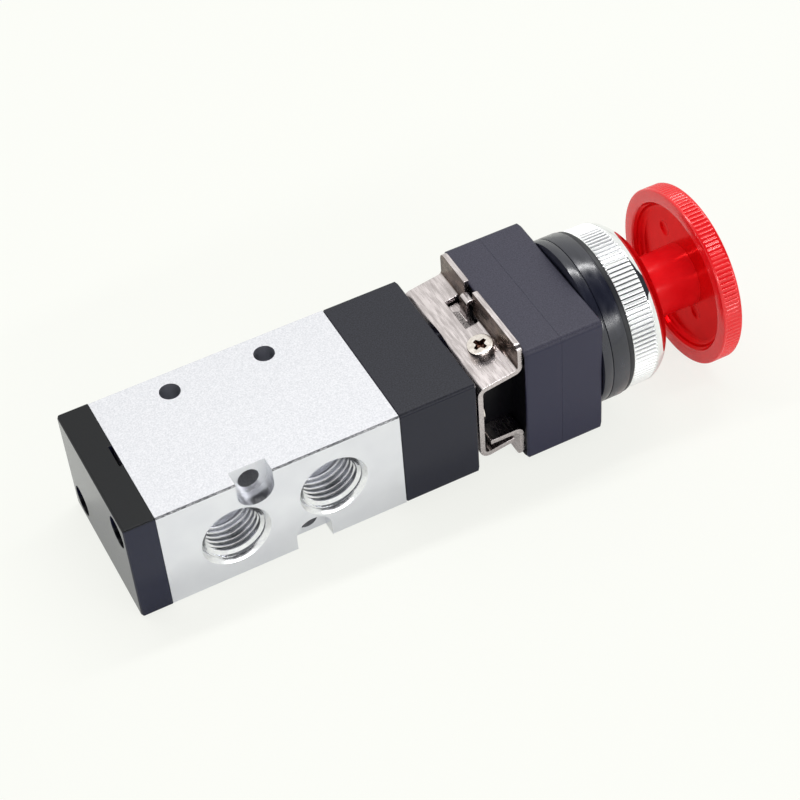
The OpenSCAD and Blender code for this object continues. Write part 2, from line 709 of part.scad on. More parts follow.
module operator_base() color(black) difference() {
  union() {
    moulded(head_x, split_x, head_w, head_h, head_corner, head_edge, 0);
    across(2 * boss_half_w) polygon([[boss_x, boss_low_z], [head_x + eps, boss_low_z],
      [head_x + eps, boss_top(head_x)], [boss_x, boss_top(boss_x)]]);
  }
  disc(boss_x - 1, rod_x - clip_gap, pin_r + pin_room);
  disc(rod_x - stroke - 1, carrier_x + eps, clip_room_r);
  disc(carrier_x, split_x + 1, carrier_r);
  for (s = [-1, 1])
    disc(boss_x - 1, web_x + sheet_t + bracket_head_h + head_room, bracket_head_r + head_room,
      s * bracket_screw_y, axis_z + s * bracket_screw_dz);
  on_upper_plate(clamp_x, clamp_y) translate([0, 0, -clamp_l]) cylinder(h = clamp_l, r = clamp_r);
  on_lower_plate(lower_clamp_x, -clamp_y) translate([0, 0, -lower_clamp_l])
    cylinder(h = lower_clamp_l, r = clamp_r);
  for (sy = [-1, 1], sz = [-1, 1]) {
    disc(head_x - 1, split_x + 1, block_screw_r + screw_gap, sy * block_screw_y,
      axis_z + sz * block_screw_z);
    disc(head_x - 1, block_seat_x, block_head_r + block_head_gap, sy * block_screw_y,
      axis_z + sz * block_screw_z);
  }
}

module block_screws() color(steel) for (sy = [-1, 1], sz = [-1, 1])
  translate([block_seat_x, sy * block_screw_y, axis_z + sz * block_screw_z]) rotate([0, -90, 0])
    pan_screw(block_head_r, block_head_h, block_screw_r, split_x - block_seat_x + block_screw_l);

module operator_body() color(black) difference() {
  moulded(split_x, front_x, head_w, head_h, head_corner, 0, head_edge);
  disc(split_x - 1, circlip_x + circlip_w, seat_r);
  disc(split_x - 1, front_x + 1, spigot_rear_r);
  for (sy = [-1, 1], sz = [-1, 1])
    disc(split_x - 1, split_x + block_screw_l, block_screw_r, sy * block_screw_y,
      axis_z + sz * block_screw_z);
}

module detent_carrier() color("#d9d6cc") difference() {
  ring(carrier_x, carrier_end_x, carrier_r, rod_r + run_gap);
  for (s = [-1, 1]) translate([ball_x, 0, axis_z]) rotate([s * 90, 0, 0])
    cylinder(h = carrier_r + 1, r = ball_r + run_gap);
}

module detent_balls() color(steel) for (s = [-1, 1])
  translate([ball_x, s * ball_out, axis_z]) sphere(ball_r);

module detent_springs() color(steel) for (s = [-1, 1])
  translate([ball_x, 0, axis_z]) rotate([-s * 90, 0, 0]) translate([0, 0, ball_out + ball_r])
    coil(detent_spring_r, detent_wire_r, carrier_r - plug_l - ball_out - ball_r, detent_turns);

module detent_plugs() color(steel) for (s = [-1, 1])
  translate([ball_x, 0, axis_z]) rotate([-s * 90, 0, 0]) translate([0, 0, carrier_r - plug_l])
    cylinder(h = plug_l - plug_gap, r = ball_r + run_gap);

module plunger_rod() color(steel) turned([[rod_x, 0], [rod_x, rod_r],
  [groove_x, rod_r], [groove_x, waist_r], [groove_x + clip_t, waist_r],
  [groove_x + clip_t, rod_r], [ball_x - waist_room, rod_r], [ball_x - waist_room, waist_r],
  [ball_x + stroke + waist_room, waist_r], [ball_x + stroke + waist_room, rod_r],
  [plunger_front_x - rod_cover, rod_r], [plunger_front_x - rod_cover, 0]]);

module rod_clip() color(steel) ring(groove_x, groove_x + clip_t, clip_r, waist_r);

module barrel() color(steel) turned([[barrel_x, rod_r + run_gap], [barrel_x, spigot_rear_r],
  [circlip_x, spigot_rear_r], [circlip_x, circlip_root_r], [circlip_x + circlip_w, circlip_root_r],
  [circlip_x + circlip_w, spigot_rear_r], [front_x, spigot_rear_r], [front_x, barrel_r],
  [barrel_end_x, barrel_r], [barrel_end_x, plunger_bore_r], [barrel_step_x, plunger_bore_r],
  [barrel_step_x, barrel_inner_r], [barrel_x + barrel_wall_l, barrel_inner_r],
  [barrel_x + barrel_wall_l, rod_r + run_gap]]);

module barrel_circlip() color(steel) ring(circlip_x, circlip_x + circlip_w, circlip_r, circlip_root_r);

module collar_ring() color(black) ring(front_x, washer_x, collar_r, barrel_r + fit_gap);

module spacer_washer() color(black) ring(washer_x, gasket_x, collar_r, barrel_r + fit_gap);

module panel_gasket() color(black) ring(gasket_x, nut_x, collar_r - gasket_inset, barrel_r + fit_gap);

// An outline of a ribbed rim: flat-topped ribs with grooves of the given depth between them
module ribbed(r, count, depth) polygon([for (i = [0:count - 1], k = [0:3])
  let (a = (i + [0, 0.62, 0.7, 0.92][k]) * 360 / count, q = r - (k < 2 ? 0 : depth))
    q * [cos(a), sin(a)]]);

module ring_nut() color("#e4e6e8") difference() {
  union() {
    along(nut_x, dome_x) ribbed(nut_r, nut_ribs, nut_rib_depth);
    turned(concat([[dome_x - eps, 0], [dome_x - eps, nut_r - dome_step]],
      [for (i = [0:nut_dome_steps]) let (a = 90 * i / nut_dome_steps)
        [dome_x + nut_dome * sin(a), nut_front_r + (nut_r - dome_step - nut_front_r) * cos(a)]],
      [[nut_end_x, 0]]));
  }
  disc(nut_x - 1, nut_end_x - lip_t, barrel_r + fit_gap);
  disc(nut_x, nut_end_x + 1, plunger_r + lip_gap);
}

module plunger() color(red) difference() {
  turned([[plunger_rear_x, 0], [plunger_rear_x, plunger_r],
    [plunger_front_x - plunger_edge, plunger_r], [plunger_front_x, plunger_r - plunger_edge],
    [plunger_front_x, stem_r], [web_back_x, stem_end_r],
    [web_back_x, tenon_r], [web_back_x + tenon_l, tenon_r], [web_back_x + tenon_l, 0]]);
  difference() {
    disc(plunger_rear_x - 1, plunger_front_x - plunger_floor, plunger_r - plunger_wall);
    disc(plunger_rear_x + hub_back, plunger_front_x, hub_r);
  }
  disc(plunger_rear_x - 1, plunger_front_x - rod_cover, rod_r);
}

module mushroom_cap() color(red) difference() {
  body_of_knob_r = knob_r - knob_edge;
  union() {
    turned(concat([[web_back_x, 0]],
      [for (i = [0:hollow_steps]) let (a = 90 * i / hollow_steps)
        [web_back_x - hollow_round * (1 - cos(a)),
          rim_in - rim_flare - hollow_round * (1 - sin(a))]],
      [[rim_x, rim_in], [rim_x, body_of_knob_r], [rim_end_x - knob_edge, body_of_knob_r]],
      [for (i = [0:dome_steps]) let (r = body_of_knob_r * (1 - i / dome_steps))
        [rim_end_x + dome_h - dome_r + sqrt(pow(dome_r, 2) - pow(r, 2)), r]]));
    difference() {
      along(rim_x + knob_edge, rim_end_x - knob_edge) ribbed(knob_r, knob_ribs, knob_edge);
      disc(rim_x, rim_end_x, knob_r - 2 * knob_edge);
    }
  }
  disc(web_back_x - 1, web_back_x + tenon_l, tenon_r);
  for (d = dimples) disc(web_back_x - 1, web_back_x + dimple_depth, dimple_r, d[0], axis_z + d[1]);
}

valve_body();
end_cover();
cover_screws();
spool();
spool_seals();
return_spring();
guide_block();
guide_screws();
pin_bush();
pin_seal();
push_pin();
bracket();
bracket_screws();
latch_plate();
lower_clip();
clamp_screw();
lower_clamp_screw();
operator_base();
operator_body();
block_screws();
detent_carrier();
detent_balls();
detent_springs();
detent_plugs();
plunger_rod();
rod_clip();
barrel();
barrel_circlip();
collar_ring();
spacer_washer();
panel_gasket();
ring_nut();
plunger();
mushroom_cap();
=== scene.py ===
# %% [markdown]
# A push-pull button valve: an aluminium spool block, black mouldings, a nickel-plated bracket,
# a chrome ring nut and a red mushroom knob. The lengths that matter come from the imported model,
# so every piece made here is placed from the boxes of the parts that it belongs to.

# %% Load the frame
import json
import math

import bmesh
import bpy
from mathutils import Matrix, Vector


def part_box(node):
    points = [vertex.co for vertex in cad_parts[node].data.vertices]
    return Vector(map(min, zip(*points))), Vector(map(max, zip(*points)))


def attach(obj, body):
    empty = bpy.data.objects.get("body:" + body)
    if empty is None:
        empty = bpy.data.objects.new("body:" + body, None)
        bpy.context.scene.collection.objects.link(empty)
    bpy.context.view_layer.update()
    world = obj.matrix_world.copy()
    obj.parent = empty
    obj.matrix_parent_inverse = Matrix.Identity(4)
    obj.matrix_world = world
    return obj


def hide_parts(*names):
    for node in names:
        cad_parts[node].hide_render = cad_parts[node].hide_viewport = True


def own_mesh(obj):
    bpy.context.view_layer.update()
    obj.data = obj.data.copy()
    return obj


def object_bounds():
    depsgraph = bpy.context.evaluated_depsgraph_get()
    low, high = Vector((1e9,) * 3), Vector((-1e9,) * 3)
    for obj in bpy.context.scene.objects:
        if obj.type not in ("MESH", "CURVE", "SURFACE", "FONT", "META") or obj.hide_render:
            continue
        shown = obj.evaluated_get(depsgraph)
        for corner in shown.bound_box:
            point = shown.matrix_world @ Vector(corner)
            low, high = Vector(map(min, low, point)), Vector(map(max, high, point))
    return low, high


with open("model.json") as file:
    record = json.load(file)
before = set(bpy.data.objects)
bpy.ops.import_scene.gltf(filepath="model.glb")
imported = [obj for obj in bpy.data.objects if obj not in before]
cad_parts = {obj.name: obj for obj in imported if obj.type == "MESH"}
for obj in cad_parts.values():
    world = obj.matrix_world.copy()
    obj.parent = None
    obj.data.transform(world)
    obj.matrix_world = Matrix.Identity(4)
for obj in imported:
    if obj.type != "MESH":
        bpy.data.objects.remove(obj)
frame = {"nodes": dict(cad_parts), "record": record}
cad_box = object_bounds()
MM = 0.001
print("nodes loaded:", len(frame["nodes"]))

# %% [markdown]
# Most of the parts beyond the valve body are turned about one line, the spool axis, which runs
# along X. The knob is centred on that line, so its box gives the axis height, and other boxes give
# the stations along X. Profiles below are written in millimetres, as on a lathe drawing.

# %% Stations from the frame
def along_x(node):
    """Where a part starts and ends along the spool axis, in millimetres."""
    low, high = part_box(node)
    return low.x / MM, high.x / MM


def radius(node):
    """Outer radius of a turned part, in millimetres."""
    low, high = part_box(node)
    return (high.y - low.y) / 2 / MM


knob_low, knob_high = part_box("mushroom_cap")
axis_z = (knob_low.z + knob_high.z) / 2
print("spool axis height, mm:", round(axis_z / MM, 2))

# %% [markdown]
# The photograph was taken from above the front left corner with a long lens, so edges that run
# away from the camera hardly meet. The camera stands about 45 cm off and looks down by 46 degrees.
# The valve leans by 3 degrees onto the rim of its knob, and the camera is level with the table.

# %% Camera
camera_data = bpy.data.cameras.new("camera")
camera_data.sensor_width = 36
camera_data.lens = 98.4
camera_data.clip_start = 0.01
camera_data.clip_end = 20
camera = bpy.data.objects.new("camera", camera_data)
bpy.context.scene.collection.objects.link(camera)
right = Vector((0.88705, -0.45781, -0.05966))
up = Vector((0.37016, 0.62801, 0.68454))
back = Vector((-0.27592, -0.62930, 0.72653))
camera.matrix_world = Matrix((right, up, back)).transposed().to_4x4()
camera.location = Vector((-90.66, -284.66, 339.01)) * MM
bpy.context.scene.camera = camera
print("camera distance from the origin, m:", round(camera.location.length, 3))

# %% [markdown]
# One helper adds a shader node, with its settings and what goes into its sockets. Colours are
# written as they look on a screen, and Blender's shaders want linear light, so one function turns
# a hex value into that.

# %% Shader helpers
def linear(code):
    """A colour such as #d8202a as linear red, green, blue and alpha."""
    out = []
    for start in (1, 3, 5):
        value = int(code[start:start + 2], 16) / 255
        out.append(value / 12.92 if value <= 0.04045 else ((value + 0.055) / 1.055) ** 2.4)
    return (*out, 1)


def add(tree, kind, inputs=None, **settings):
    """Adds a shader node; an input is a value, or the socket of another node."""
    node = tree.nodes.new(kind)
    for key, value in settings.items():
        setattr(node, key, value)
    for key, value in (inputs or {}).items():
        if isinstance(value, bpy.types.NodeSocket):
            tree.links.new(value, node.inputs[key])
        else:
            node.inputs[key].default_value = value
    return node


def new_material(name):
    """An empty material with its output node."""
    material = bpy.data.materials.new(name)
    material.use_nodes = True
    material.node_tree.nodes.clear()
    output = add(material.node_tree, "ShaderNodeOutputMaterial")
    return material, material.node_tree, output


def grain(tree, size_mm, detail=2, stretch=(1, 1, 1)):
    """A noise whose grains are about size_mm across, drawn on the piece's own coordinates."""
    where = add(tree, "ShaderNodeTexCoord")
    placed = add(tree, "ShaderNodeMapping", {"Vector": where.outputs["Object"], "Scale": stretch})
    noise = add(tree, "ShaderNodeTexNoise", {"Vector": placed.outputs["Vector"],
                "Scale": 1 / (size_mm * MM), "Detail": detail})
    level = add(tree, "ShaderNodeMapRange", {"Value": noise.outputs["Fac"], "From Min": 0.3,
                "From Max": 0.7})
    return level.outputs["Result"]


print("mid grey in linear light:", [round(c, 3) for c in linear("#808080")[:3]])

# %% [markdown]
# Most shapes here are made with bmesh operators, such as an extrusion. An operator returns what it
# made as one list of vertices, edges and faces, so two helpers pick from that list what the next
# step works on.

# %% What an operator made
def new_verts(made):
    """The vertices among what an operator made."""
    return [v for v in made["geom"] if isinstance(v, bmesh.types.BMVert)]


def edges_among(made, verts):
    """The edges that an operator made between some vertices."""
    edges = [e for e in made["geom"] if isinstance(e, bmesh.types.BMEdge)]
    return [e for e in edges if all(v in verts for v in e.verts)]


print("helpers:", new_verts.__name__, edges_among.__name__)

# %% [markdown]
# The table is a pale sheet. It leans with the valve by 3 degrees, because the valve's frame is
# the upright one here, and it levels out further off so that a low camera isn't under it. A row of
# points across the table, dragged along it once, makes such a bent sheet.

# %% Table
lean_low, lean_high = along_x("end_cover")[0], along_x("mushroom_cap")[0]
drop = -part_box("mushroom_cap")[0].z / MM
clearance = 0.3
slope = drop / (lean_high - lean_low)
ledge = 30


def table_height(x):
    """Height of the table under the valve at x, in millimetres."""
    held = min(max(x, lean_low - ledge), lean_high + ledge)
    return -(held - lean_low) * slope - clearance


mesh = bmesh.new()
reach = 1500
stations = [-reach, lean_low - ledge, lean_high + ledge, reach]
line = [mesh.verts.new((x * MM, -reach * MM, table_height(x) * MM)) for x in stations]
edges = [mesh.edges.new(pair) for pair in zip(line, line[1:])]
made = bmesh.ops.extrude_edge_only(mesh, edges=edges)
bmesh.ops.translate(mesh, vec=(0, 2 * reach * MM, 0), verts=new_verts(made))
bmesh.ops.recalc_face_normals(mesh, faces=mesh.faces)
table_mesh = bpy.data.meshes.new("table")
mesh.to_mesh(table_mesh)
mesh.free()
table = bpy.data.objects.new("table", table_mesh)
bpy.context.scene.collection.objects.link(table)
print("table drops by", round(drop, 2), "mm under the valve")

# %% [markdown]
# The sheet is matt white paper. The camera sees it mostly in the background colour, and its own
# shading adds the shadow. Shiny parts see more of that shading, so they grow darker near the
# table, as they do in the photograph.

# %% Finish: matt white paper
BACKGROUND = "#fdfef9"
SHADE = 0.2
GLOSS_GLOW = 0.3
paper, tree, output = new_material("matt_white_paper")
rays = add(tree, "ShaderNodeLightPath")
seen = add(tree, "ShaderNodeMath", {0: rays.outputs["Is Camera Ray"],
           1: rays.outputs["Is Transmission Ray"]}, operation="MAXIMUM")
glow = add(tree, "ShaderNodeEmission", {"Color": linear(BACKGROUND), "Strength": 1})
matt = add(tree, "ShaderNodeBsdfDiffuse", {"Color": linear("#f0f1ec")})
plain = add(tree, "ShaderNodeMath", {0: seen.outputs[0], 1: 1 - SHADE}, operation="MULTIPLY")
shiny = add(tree, "ShaderNodeMath", {0: rays.outputs["Is Glossy Ray"], 1: GLOSS_GLOW},
            operation="MULTIPLY")
part = add(tree, "ShaderNodeMath", {0: plain.outputs[0], 1: shiny.outputs[0]}, operation="MAXIMUM")
mixed = add(tree, "ShaderNodeMixShader", {0: part.outputs[0], 1: matt.outputs[0],
            2: glow.outputs[0]})
tree.links.new(mixed.outputs[0], output.inputs["Surface"])
table.data.materials.append(paper)
print("share of the sheet's own shading, camera and shine:", SHADE, 1 - GLOSS_GLOW)

# %% [markdown]
# The room is a plain white one. The camera and all that shines see it at full strength, so that
# metal looks white, and it lights the valve with about half of that, so that colours come out as
# they are written.

# %% Room light
AMBIENT = 0.54
world = bpy.data.worlds.new("studio")
bpy.context.scene.world = world
world.use_nodes = True
tree = world.node_tree
tree.nodes.clear()
rays = add(tree, "ShaderNodeLightPath")
shiny = add(tree, "ShaderNodeMath", {0: rays.outputs["Is Glossy Ray"],
            1: rays.outputs["Is Transmission Ray"]}, operation="MAXIMUM")
seen = add(tree, "ShaderNodeMath", {0: rays.outputs["Is Camera Ray"], 1: shiny.outputs[0]},
           operation="MAXIMUM")
strength = add(tree, "ShaderNodeMix", {0: seen.outputs[0], 2: AMBIENT, 3: 1.0}, data_type="FLOAT")
sky = add(tree, "ShaderNodeBackground", {"Color": linear(BACKGROUND),
          "Strength": strength.outputs[0]})
output = add(tree, "ShaderNodeOutputWorld", {"Surface": sky.outputs[0]})
bpy.context.scene.view_settings.view_transform = "Standard"
print("room light on the valve:", AMBIENT)

# %% [markdown]
# Two soft boxes light the valve, one overhead and one low in front, because each glossy round part
# in the photograph shows two streaks. They stand some way ahead in X, where the round parts mirror
# them to the camera. An angle here is measured about the spool axis, up from -Y.

# %% Lamps
valve_middle = (cad_box[0] + cad_box[1]) / 2
LAMPS_AHEAD = 0.12


def around(angle, distance, ahead=0.0):
    """A place at an angle about the spool axis, some way ahead along it, in metres."""
    turn = math.radians(angle)
    return valve_middle + Vector((0, -math.cos(turn), math.sin(turn))) * distance + Vector((ahead, 0, 0))


def soft_box(name, angle, distance, width, depth, watts):
    """A rectangular lamp, long in X, that faces the valve."""
    data = bpy.data.lights.new(name, "AREA")
    data.shape = "RECTANGLE"
    data.size, data.size_y = width, depth
    data.energy = watts
    lamp = bpy.data.objects.new(name, data)
    bpy.context.scene.collection.objects.link(lamp)
    lamp.location = around(angle, distance, LAMPS_AHEAD)
    lamp.rotation_euler = (math.radians(90 - angle), 0, 0)
    return lamp


soft_box("overhead", angle=107, distance=0.62, width=0.8, depth=0.05, watts=2.4)
soft_box("front", angle=27, distance=0.62, width=0.8, depth=0.035, watts=1.3)

# %% [markdown]
# Between the two streaks lies the dark side of the room, where the camera stands. A dark card,
# curved about the spool axis and seen by reflections alone, stands for it. It reaches far past the
# knob, because the round parts mirror what is ahead of them.

# %% The dark side of the room
def dark_card(name, first, last, distance, colour):
    """A card, curved about the spool axis, that only glossy rays see."""
    mesh = bmesh.new()
    ends = [mesh.verts.new(around(first, distance, ahead)) for ahead in (-0.5, 6)]
    bmesh.ops.spin(mesh, geom=ends + [mesh.edges.new(ends)], cent=valve_middle, axis=(-1, 0, 0),
                   angle=math.radians(last - first), steps=8)
    data = bpy.data.meshes.new(name)
    mesh.to_mesh(data)
    mesh.free()
    card = bpy.data.objects.new(name, data)
    bpy.context.scene.collection.objects.link(card)
    card.visible_camera = card.visible_diffuse = card.visible_shadow = False
    card.visible_transmission = False
    velvet, tree, output = new_material(name + "_velvet")
    dim = add(tree, "ShaderNodeEmission", {"Color": linear(colour), "Strength": 1})
    tree.links.new(dim.outputs[0], output.inputs["Surface"])
    data.materials.append(velvet)
    return card


card = dark_card("camera_side", first=33, last=98, distance=0.45, colour="#34353a")
print("faces of the dark card:", len(card.data.polygons))

# %% [markdown]
# Most finishes here have one shape: two close colours and a roughness that wander with a noise,
# and a slight relief. Casting skin, plating, moulding and grinding differ in the size of that
# noise, in its stretch along the tool's path, and in how glossy the surface is.

# %% One surface with a wandering colour
def surface(name, low, high, rough, grain_mm, relief_mm, stretch=(1, 1, 1), **sockets):
    """A finish between two colours and two roughnesses; sockets set the shader's own values."""
    material, tree, output = new_material(name)
    wander = grain(tree, grain_mm, 4, stretch)
    colour = add(tree, "ShaderNodeMix", {0: wander, 6: linear(low), 7: linear(high)}, data_type="RGBA")
    dull = add(tree, "ShaderNodeMapRange", {"Value": wander, "To Min": rough[0], "To Max": rough[1]})
    relief = add(tree, "ShaderNodeBump", {"Height": wander, "Distance": relief_mm * MM})
    own = {key.replace("_", " "): value for key, value in sockets.items()}
    shader = add(tree, "ShaderNodeBsdfPrincipled", {"Base Color": colour.outputs[2],
                 "Roughness": dull.outputs[0], "Normal": relief.outputs[0], **own})
    tree.links.new(shader.outputs[0], output.inputs["Surface"])
    return material


print("helper:", surface.__name__)

# %% [markdown]
# These finishes are plain enough for one line each. A line gives the two colours, the range of the
# roughness, and the grain and the relief in millimetres. Where a tool ran round a turned part, its
# marks are rings, so the noise is stretched until it changes along X alone.

# %% Plain finishes
# nickel plate on small pressed screws: bright, a little warm, and softened by tiny dents
screw_nickel = surface("nickel_plated_screw", "#d8cec8", "#f0e9e4", (0.12, 0.24), 0.8, 0.004,
                       Metallic=1.0)
# painted shade: the same plate in the recesses, painted brown and darker for the shade that falls there
recess_shade = surface("nickel_recess_painted_shade", "#4a332b", "#8a6a5c", (0.2, 0.35), 0.7, 0.006, Metallic=1.0)
# chrome over the tool marks of the flutes: white, because it spreads the light of the whole room
satin_chrome = surface("satin_chrome_flutes", "#eceef0", "#f7f8f9", (0.42, 0.5), 0.5, 0.002,
                       Metallic=1.0)
# chrome over polished brass: nearly a mirror
chrome = surface("chrome_plated_brass", "#eceef0", "#f7f8f9", (0.03, 0.07), 2, 0.001, Metallic=1.0)
# ground steel: bright, with fine marks round the bar
bright_steel = surface("ground_steel", "#b9bbbf", "#cfd1d4", (0.18, 0.3), 0.4, 0.003, (4, 1, 1),
                       Metallic=1.0)
# oiled black oxide on steel: dark, with a soft sheen
black_steel = surface("black_oxide_steel", "#25262a", "#33343a", (0.3, 0.45), 0.5, 0.004,
                      Metallic=1.0)
# turned aluminium: pale, with rings from the tool
turned_aluminium = surface("turned_aluminium", "#c9cbcf", "#dcdee1", (0.2, 0.3), 0.2, 0.004,
                           (1, 0, 0), Metallic=1.0)
# zinc plate on steel: pale grey and a little soft
zinc = surface("zinc_plated_steel", "#b4b7bb", "#cfd2d5", (0.22, 0.36), 0.7, 0.004, Metallic=1.0)
# turned brass: yellow, with rings from the tool
brass = surface("turned_brass", "#b48f4d", "#cda865", (0.2, 0.3), 0.2, 0.004, (1, 0, 0),
                Metallic=1.0)
# black plastic from a polished mould: glossy, with long flow marks that make the shine uneven
glossy_black = surface("glossy_black_plastic", "#191b28", "#232533", (0.14, 0.3), 1.6, 0.006,
                       (1, 0.3, 0.3), IOR=1.5, Specular_IOR_Level=0.8)
# nitrile rubber: dull and nearly black
rubber = surface("nitrile_rubber", "#16171d", "#202128", (0.4, 0.55), 0.2, 0.01, IOR=1.52)
# acetal without dye: waxy and cream white
natural = surface("natural_acetal", "#d5d1c4", "#e2dfd4", (0.35, 0.45), 3, 0.004, IOR=1.48)
print("turned finishes:", turned_aluminium.name, brass.name)

# %% [markdown]
# The knob and its stem are red acetal, a waxy and strongly coloured plastic. The hollow in the
# knob's back was polished in the mould. It mirrors the stem, and because red light bounces about
# inside it, the mirror image is red as well. A share of metallic tints a reflection with the base
# colour, so that material has some, with little of the white reflection of a plain plastic.

# %% Finish: red acetal
red = surface("red_acetal", "#e8131b", "#f01a22", (0.16, 0.24), 4, 0.003, IOR=1.48, Metallic=0.1,
              Specular_IOR_Level=0.7)
deep_red = surface("polished_red_acetal", "#dc0c14", "#e61119", (0.14, 0.19), 4, 0.002, IOR=1.48,
                   Metallic=0.45, Specular_IOR_Level=0.1, Specular_Tint=(1, 0, 0, 1))
print("red finishes:", red.name, deep_red.name)

# %% [markdown]
# Some finishes change with the way a face looks, such as a top that the blasting nozzle reached.
# The normal in the piece's own coordinates tells that, so it holds from any camera.

# %% Which way a face looks
def facing(tree, axis, first, last):
    """Goes from 0 to 1 as the normal's part along an axis (0, 1 or 2) goes from first to last."""
    where = add(tree, "ShaderNodeTexCoord")
    split = add(tree, "ShaderNodeSeparateXYZ", {0: where.outputs["Normal"]})
    level = add(tree, "ShaderNodeMapRange", {"Value": split.outputs[axis], "From Min": first,
                "From Max": last})
    return level.outputs["Result"]


print("helper:", facing.__name__)

# %% [markdown]
# The valve body is extruded aluminium, glass-bead blasted and clear anodised. Blasting leaves pits
# about a third of a millimetre across, which break up the light and sparkle on the top face. The
# ported face was milled first, so it is calmer. Threads are cut after anodising, so they are bare.

# %% Finish: blasted anodised aluminium
aluminium, tree, output = new_material("anodised_aluminium")
top = facing(tree, 2, 0.15, 0.7)
pits = grain(tree, 0.3, 3)
bloom = grain(tree, 9)
sparkle = add(tree, "ShaderNodeMix", {0: pits, 6: linear("#c2c3c8"), 7: linear("#d8d8dc")},
              data_type="RGBA")
calm = add(tree, "ShaderNodeMix", {0: bloom, 6: linear("#e6e7ee"), 7: linear("#eeeff5")},
           data_type="RGBA")
colour = add(tree, "ShaderNodeMix", {0: top, 6: calm.outputs[2], 7: sparkle.outputs[2]},
             data_type="RGBA")
dull = add(tree, "ShaderNodeMapRange", {"Value": top, "To Min": 0.36, "To Max": 0.6})
strength = add(tree, "ShaderNodeMapRange", {"Value": top, "To Min": 0.1, "To Max": 0.5})
relief = add(tree, "ShaderNodeBump", {"Height": pits, "Distance": 0.02 * MM,
             "Strength": strength.outputs[0]})
shader = add(tree, "ShaderNodeBsdfPrincipled", {"Base Color": colour.outputs[2], "Metallic": 1.0,
             "Roughness": dull.outputs[0], "Normal": relief.outputs[0]})
tree.links.new(shader.outputs[0], output.inputs["Surface"])
cut_aluminium = surface("cut_aluminium", "#e4e5ea", "#f4f5f7", (0.16, 0.26), 0.5, 0.003,
                        Metallic=1.0)
print("aluminium finishes:", aluminium.name, cut_aluminium.name)

# %% [markdown]
# The bracket is sheet steel, brushed across and plated with bright nickel, which is a little warm
# in colour. The inside of its upper flange, in the narrow gap in front of the black block, is
# painted dark brown and mottled, as painted shade. The painted shade starts just above the plate,
# on the face that looks back at the body.

# %% Finish: nickel-plated sheet
# heights over the spool axis, in mm, where the painted shade on the flange's inside fades in
GAP_SHADE_START, GAP_SHADE_FULL = 10.8, 11.2
nickel, tree, output = new_material("nickel_plated_sheet")
brush = grain(tree, 0.5, 4, (1, 0.12, 1))
blotch = grain(tree, 2.2, 3)
plate = add(tree, "ShaderNodeMix", {0: brush, 6: linear("#b5adae"), 7: linear("#d6cecf")},
            data_type="RGBA")
brown = add(tree, "ShaderNodeMix", {0: blotch, 6: linear("#3b2f2a"), 7: linear("#7d6c62")},
            data_type="RGBA")
back = facing(tree, 0, -0.75, -0.95)
where = add(tree, "ShaderNodeTexCoord")
split = add(tree, "ShaderNodeSeparateXYZ", {0: where.outputs["Object"]})
above = add(tree, "ShaderNodeMapRange", {"Value": split.outputs[2],
            "From Min": axis_z + GAP_SHADE_START * MM, "From Max": axis_z + GAP_SHADE_FULL * MM})
# painted shade: faces that look back at the body, above the plate, get the dark brown colour
gap_shaded = add(tree, "ShaderNodeMath", {0: back, 1: above.outputs["Result"]}, operation="MULTIPLY")
colour = add(tree, "ShaderNodeMix", {0: gap_shaded.outputs[0], 6: plate.outputs[2],
             7: brown.outputs[2]}, data_type="RGBA")
dull = add(tree, "ShaderNodeMapRange", {"Value": brush, "To Min": 0.2, "To Max": 0.34})
relief = add(tree, "ShaderNodeBump", {"Height": brush, "Distance": 0.01 * MM})
shader = add(tree, "ShaderNodeBsdfPrincipled", {"Base Color": colour.outputs[2], "Metallic": 1.0,
             "Roughness": dull.outputs[0], "Normal": relief.outputs[0]})
tree.links.new(shader.outputs[0], output.inputs["Surface"])
# where the painted brown shade on the flange begins
print("stain starts at height, mm:", round(axis_z / MM + GAP_SHADE_START, 1))

# %% [markdown]
# The end cover, the guide block and the square block are black nylon mouldings. Their tops come
# from a spark-eroded mould, which prints a fine grain of about a quarter of a millimetre, and
# their sides are smoother. The plastic is a touch blue, and never fully black in bright light. The
# inside of the square block hardly gets any light, so it gets a painted shade: a darker colour
# without shine.

# %% Finish: black mouldings
def black_nylon(name, side, low, high, side_rough, top_rough, gloss, pit_mm=0.28):
    """Black plastic whose upward faces are grained and whose other faces are smoother."""
    material, tree, output = new_material(name)
    top = facing(tree, 2, 0.15, 0.7)
    pits = grain(tree, pit_mm)
    grained = add(tree, "ShaderNodeMix", {0: pits, 6: linear(low), 7: linear(high)},
                  data_type="RGBA")
    colour = add(tree, "ShaderNodeMix", {0: top, 6: linear(side), 7: grained.outputs[2]},
                 data_type="RGBA")
    dull = add(tree, "ShaderNodeMapRange", {"Value": top, "To Min": side_rough,
               "To Max": top_rough})
    relief = add(tree, "ShaderNodeBump", {"Height": pits, "Distance": 0.015 * MM, "Strength": 0.5})
    shader = add(tree, "ShaderNodeBsdfPrincipled", {"Base Color": colour.outputs[2],
                 "Roughness": dull.outputs[0], "Normal": relief.outputs[0], "IOR": 1.5,
                 "Specular IOR Level": gloss})
    tree.links.new(shader.outputs[0], output.inputs["Surface"])
    return material


cover_black = black_nylon("black_nylon_cover", "#191c33", "#02040a", "#070910", 0.12, 0.3, 0.3)
guide_black = black_nylon("black_nylon_guide", "#121426", "#15161f", "#292a35", 0.2, 0.5, 0.3)
block_black = black_nylon("black_nylon_block", "#28283f", "#31303e", "#444352", 0.35, 0.5, 0.3)
# painted shade for the inside of the square block: a darker colour without shine
painted_shade_black = surface("black_nylon_painted_shade", "#05050a", "#0a0a10", (0.4, 0.5), 2, 0.004, IOR=1.5,
                         Specular_IOR_Level=0.15)
print("black mouldings:", [m.name for m in (cover_black, guide_black, block_black)])

# %% [markdown]
# Each part of the frame gets the finish of the real piece. Those that nothing else replaces are
# shown as they came from the drawing.

